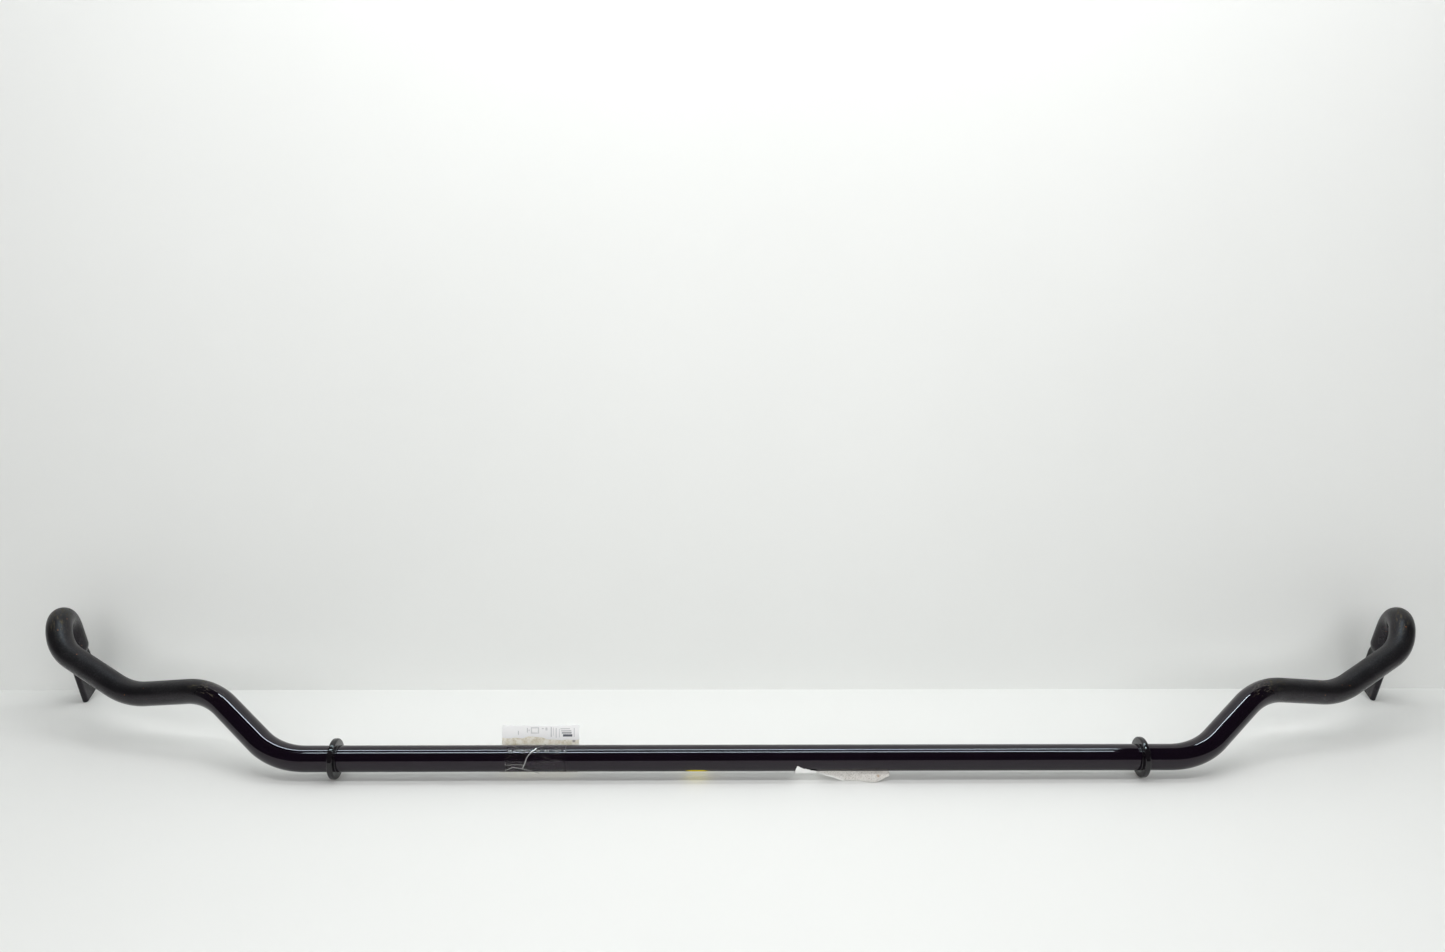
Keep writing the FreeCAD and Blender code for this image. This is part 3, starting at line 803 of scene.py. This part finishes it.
# The strip's torn front edge: a point high on the front at the left, then down to the tube's underside.
torn_at = [44, 45.3, 50, 56, 60.5, 64, 70, 118]
torn = np.interp(strip_x / MM, torn_at, [215, 192.5, 205, 215, 221, 238, 246, 247])
torn = torn + 0.9 * np.sin(strip_x / (1.1 * MM)) + 0.7 * np.sin(strip_x / (0.47 * MM))
strip_angle = np.radians(torn + (300 - torn) * back)
strip_x = np.broadcast_to(strip_x, strip_angle.shape)
pucker = 0.05 + 0.05 * np.sin(strip_x / (2.1 * MM)) * np.sin(6 * strip_angle)
lifted_edge = 0.25 * np.exp(-back * 40)
# At its left end it sags off the tube's underside.
slack = 1.5 * (1 - smooth(strip_x, 62 * MM, 72 * MM))
slack = slack * np.exp(-(((strip_angle - math.radians(243)) / 0.4) ** 2))
strip_radius = STICKER_INNER + (pucker + lifted_edge + slack) * MM
strip_inner = round_tube(strip_x, strip_radius, strip_angle)
strip_outer = round_tube(strip_x, strip_radius + STICKER_PAPER, strip_angle)

# The flap: from the hinge under the tube it slopes forward and down. Its left edge runs slantwise from the
# hinge to the floor and is rolled over, with a bright line painted along it as a highlight. Its right end is
# a rounded lobe.
down = np.linspace(0, 1, 56)[:, None]
along = np.linspace(0, 1, 150)[None]
left_edge = 58.0 + 25.0 * down
right_edge = 119.3 + 0.8 * np.sin(np.pi * down) - 8.0 * smooth(down, 0.6, 1.1) ** 2
flap_x = (left_edge + (right_edge - left_edge) * along) * MM
hinge_angle = math.radians(232)
hinge = STICKER_INNER + 0.2 * MM
hinge_y, hinge_z = hinge * math.cos(hinge_angle), hinge * math.sin(hinge_angle)
foot_z = cad_low.z + (0.35 + 0.1 * (1 - smooth(along, 0.0, 0.2)) + 2.2 * smooth(along, 0.86, 1.0)) * MM
foot_y = -(8.4 + 3.2 * smooth(along, 0.3, 0.75) - 1.6 * smooth(along, 0.85, 1.0)) * MM
sag = np.sin(np.pi * down) * (0.1 + 0.3 * smooth(along, 0.05, 0.3) * np.sin(7 * along)) * MM
crumple = 0.22 * np.sin(flap_x / (2.4 * MM) + 4 * down) + 0.12 * np.sin(flap_x / (1.1 * MM) - 7 * down)
crumple = crumple * smooth(down, 0.0, 0.25) * (1 - 0.6 * smooth(down, 0.8, 1.0)) * MM
roll = 0.9 * np.exp(-along * 26) * smooth(down, 0.02, 0.2) * MM
flap_y = hinge_y + (foot_y - hinge_y) * down + (sag + crumple) * 0.5 - roll
flap_z = hinge_z + (foot_z - hinge_z) * down**1.1 + (sag + crumple) * 0.6
flap_front = np.stack([flap_x, flap_y, flap_z], axis=-1)
flap_normal = unit(np.cross(np.gradient(flap_front, axis=0), np.gradient(flap_front, axis=1)))
flap_back = flap_front - flap_normal * STICKER_PAPER


def make_sticker_paper():
    """Soiled sticker paper: white where the strip's paper is clean and as a painted highlight along the
    flap's rolled edge, elsewhere grey glue with grit in it, and rust in 'spot'.
    """
    material, tree, output = new_material("torn_sticker_paper")
    place = add_node(tree, "TexCoord").outputs["Object"]
    white_paper_and_edge_highlight = add_node(tree, "Attribute", attribute_name="white_paper_and_edge_highlight").outputs["Fac"]
    spot = add_node(tree, "Attribute", attribute_name="spot").outputs["Fac"]
    cloud = add_node(tree, "TexNoise", {"Vector": place, "Scale": 0.3 / MM, "Detail": 4, "Roughness": 0.7})
    grit = add_node(tree, "TexNoise", {"Vector": place, "Scale": 1.3 / MM, "Detail": 2, "Roughness": 0.5})
    grit = add_node(tree, "MapRange", {0: grit.outputs["Fac"], 1: 0.55, 2: 0.66, 3: 0.0, 4: 0.7})
    glue = add_node(
        tree, "Mix", {0: cloud.outputs["Fac"], 6: colour("#e6e4e0"), 7: colour("#bcb8b1")}, data_type="RGBA"
    )
    glue = add_node(
        tree, "Mix", {0: grit.outputs[0], 6: glue.outputs[2], 7: colour("#8f8a84")}, data_type="RGBA"
    )
    tone = add_node(tree, "Mix", {0: white_paper_and_edge_highlight, 6: glue.outputs[2], 7: colour("#f7f7f6")}, data_type="RGBA")
    tone = add_node(tree, "Mix", {0: spot, 6: tone.outputs[2], 7: colour("#9b7a55")}, data_type="RGBA")
    roughness = add_node(tree, "MapRange", {0: white_paper_and_edge_highlight, 3: 0.45, 4: 0.7})
    bump = add_node(tree, "Bump", {"Strength": 0.5, "Distance": 0.15 * MM, "Height": cloud.outputs["Fac"]})
    sheet = add_node(
        tree, "BsdfPrincipled",
        {"Base Color": tone.outputs[2], "Roughness": roughness.outputs[0], "Normal": bump.outputs[0]},
    )
    tree.links.new(sheet.outputs[0], output.inputs["Surface"])
    return material


strip_points, strip_faces = closed_sheet(strip_outer, strip_inner)
flap_points, flap_faces = closed_sheet(flap_front, flap_back)
flap_faces = [tuple(corner + len(strip_points) for corner in face) for face in flap_faces]
strip_clean = (1 - smooth(strip_x, 60 * MM, 66 * MM)) * 0.9
# A white highlight line painted along the flap's rolled left edge.
flap_edge_highlight = np.exp(-along * 22) + 0 * down
flap_spot = 0.9 * np.exp(-(((flap_x / MM - 111.0) / 1.0) ** 2) - ((down - 0.45) / 0.12) ** 2)
make_piece(
    "torn_sticker_paper", np.concatenate([strip_points, flap_points]), strip_faces + flap_faces,
    fields={
        "white_paper_and_edge_highlight": np.concatenate([twice(strip_clean), twice(flap_edge_highlight)]),
        "spot": np.concatenate([twice(0 * strip_x), twice(flap_spot)]),
    },
    material=make_sticker_paper(), stands_for=["torn_label"],
)

# --------------------------------------------------------------------------------------------------
# The stage: a pale laminate table top under the bar and a pale board just behind it, each seen from its lit
# side only, so that the bar still shows from behind and from below.

FLOOR_SIZE = 8.0
WALL_GAP = 5.0 * MM
WALL_HEIGHT = 0.8
WALL_HALF_WIDTH = 1.2
FADE_FROM = 1.0
FADE_TO = 2.4


def make_board(name, tint, roughness):
    """Pale painted board, faintly cloudy, that fades into the room; its back lets light and sight through."""
    material, tree, output = new_material(name)
    place = add_node(tree, "TexCoord").outputs["Object"]
    cloud = add_node(tree, "TexNoise", {"Vector": place, "Scale": 0.003 / MM, "Detail": 5})
    tone = add_node(
        tree, "Mix", {0: cloud.outputs["Fac"], 6: colour(tint[0]), 7: colour(tint[1])}, data_type="RGBA"
    )
    paint = add_node(tree, "BsdfPrincipled", {"Base Color": tone.outputs[2], "Roughness": roughness})
    # Far from the bar the board fades into the room's own brightness, as a seamless backdrop does.
    far = add_node(tree, "VectorMath", {0: place}, operation="LENGTH")
    far = add_node(tree, "MapRange", {0: far.outputs["Value"], 1: FADE_FROM, 2: FADE_TO, 3: 0.0, 4: 1.0})
    haze = add_node(tree, "Emission", {"Color": colour("#fbfcfc"), "Strength": 0.92})
    paint = add_node(tree, "MixShader", {0: far.outputs[0], 1: paint.outputs[0], 2: haze.outputs[0]})
    clear = add_node(tree, "BsdfTransparent")
    back_face = add_node(tree, "NewGeometry").outputs["Backfacing"]
    mix = add_node(tree, "MixShader", {0: back_face, 1: paint.outputs[0], 2: clear.outputs[0]})
    tree.links.new(mix.outputs[0], output.inputs["Surface"])
    return material


table_paint = make_board("pale_laminate", ("#e9eae8", "#eeefed"), 0.5)
board_paint = make_board("pale_board", ("#e6e7e5", "#ecedeb"), 0.7)
half = FLOOR_SIZE / 2
wall_y = cad_high.y + WALL_GAP
low, top = cad_low.z, cad_low.z + WALL_HEIGHT
table_corners = [(-half, -half, low), (half, -half, low), (half, half, low), (-half, half, low)]
left, right = -WALL_HALF_WIDTH, WALL_HALF_WIDTH
wall_corners = [(left, wall_y, low), (right, wall_y, low), (right, wall_y, top), (left, wall_y, top)]
for name, material, board_corners in (
    ("floor", table_paint, table_corners),
    ("back_board", board_paint, wall_corners),
):
    make_piece(name, board_corners, [(0, 1, 2, 3)], material=material, body=None)

# Two long soft panels overhead light the stage, and the bright tubes in them draw the two thin lines along
# the bar. A wide soft light behind the camera fills the faces that look forward. Gloss shows only the tubes.
for name, place, tilt, size, power, tint, in_gloss in (
    ("rear_panel", (0.02, 0.155, 1.0), 0, (1.32, 0.045), 2.6, "#ffffff", False),
    ("front_panel", (0.02, -0.28, 1.0), 0, (1.32, 0.045), 4.6, "#ffffff", False),
    ("front_fill", (0.0, -1.9, 1.0), 62, (2.4, 1.2), 25.0, "#ffffff", False),
    ("rear_tube", (-0.02, 0.155, 1.01), 0, (1.42, 0.03), 7.2, "#e2fbff", True),
    ("front_tube", (-0.02, -0.28, 1.01), 0, (1.42, 0.03), 8.0, "#e2fbff", True),
):
    lamp = bpy.data.lights.new(name, "AREA")
    lamp.shape = "RECTANGLE"
    lamp.size, lamp.size_y = size
    lamp.energy = power
    lamp.color = colour(tint)[:3]
    panel = bpy.data.objects.new(name, lamp)
    panel.location = place
    panel.rotation_euler = (math.radians(tilt), 0, 0)
    panel.visible_glossy = in_gloss
    panel.visible_diffuse = not in_gloss
    bpy.context.scene.collection.objects.link(panel)

world = bpy.data.worlds.new("dim_room")
bpy.context.scene.world = world
world.use_nodes = True
world.node_tree.nodes.clear()
ray = add_node(world.node_tree, "LightPath")
glow = add_node(world.node_tree, "MapRange", {0: ray.outputs["Is Glossy Ray"], 3: 0.15, 4: 0.04})
glow = add_node(world.node_tree, "Mix", {0: ray.outputs["Is Camera Ray"], 2: glow.outputs[0], 3: 0.92})
sky = add_node(world.node_tree, "Background", {"Color": colour("#fbfcfc"), "Strength": glow.outputs[0]})
add_node(world.node_tree, "OutputWorld", {"Surface": sky.outputs[0]})

# The camera stands a little above the bar, a pace in front of it, and looks slightly down.
camera_data = bpy.data.cameras.new("camera")
camera_data.lens = 26.47
camera_data.sensor_width = 36.0
camera_data.clip_start = 0.01
camera = bpy.data.objects.new("camera", camera_data)
pitch, yaw, roll_angle = (math.radians(angle) for angle in (8.708, 0.851, 0.224))
turn = Matrix.Rotation(-yaw, 3, "Z") @ Matrix.Rotation(math.pi / 2 - pitch, 3, "X")
turn = turn @ Matrix.Rotation(roll_angle, 3, "Z")
camera.rotation_euler = turn.to_euler()
camera.location = (-0.02757, -0.81758, 0.3567)
bpy.context.scene.collection.objects.link(camera)
bpy.context.scene.camera = camera

view = bpy.context.scene.view_settings
view.view_transform = "Standard"
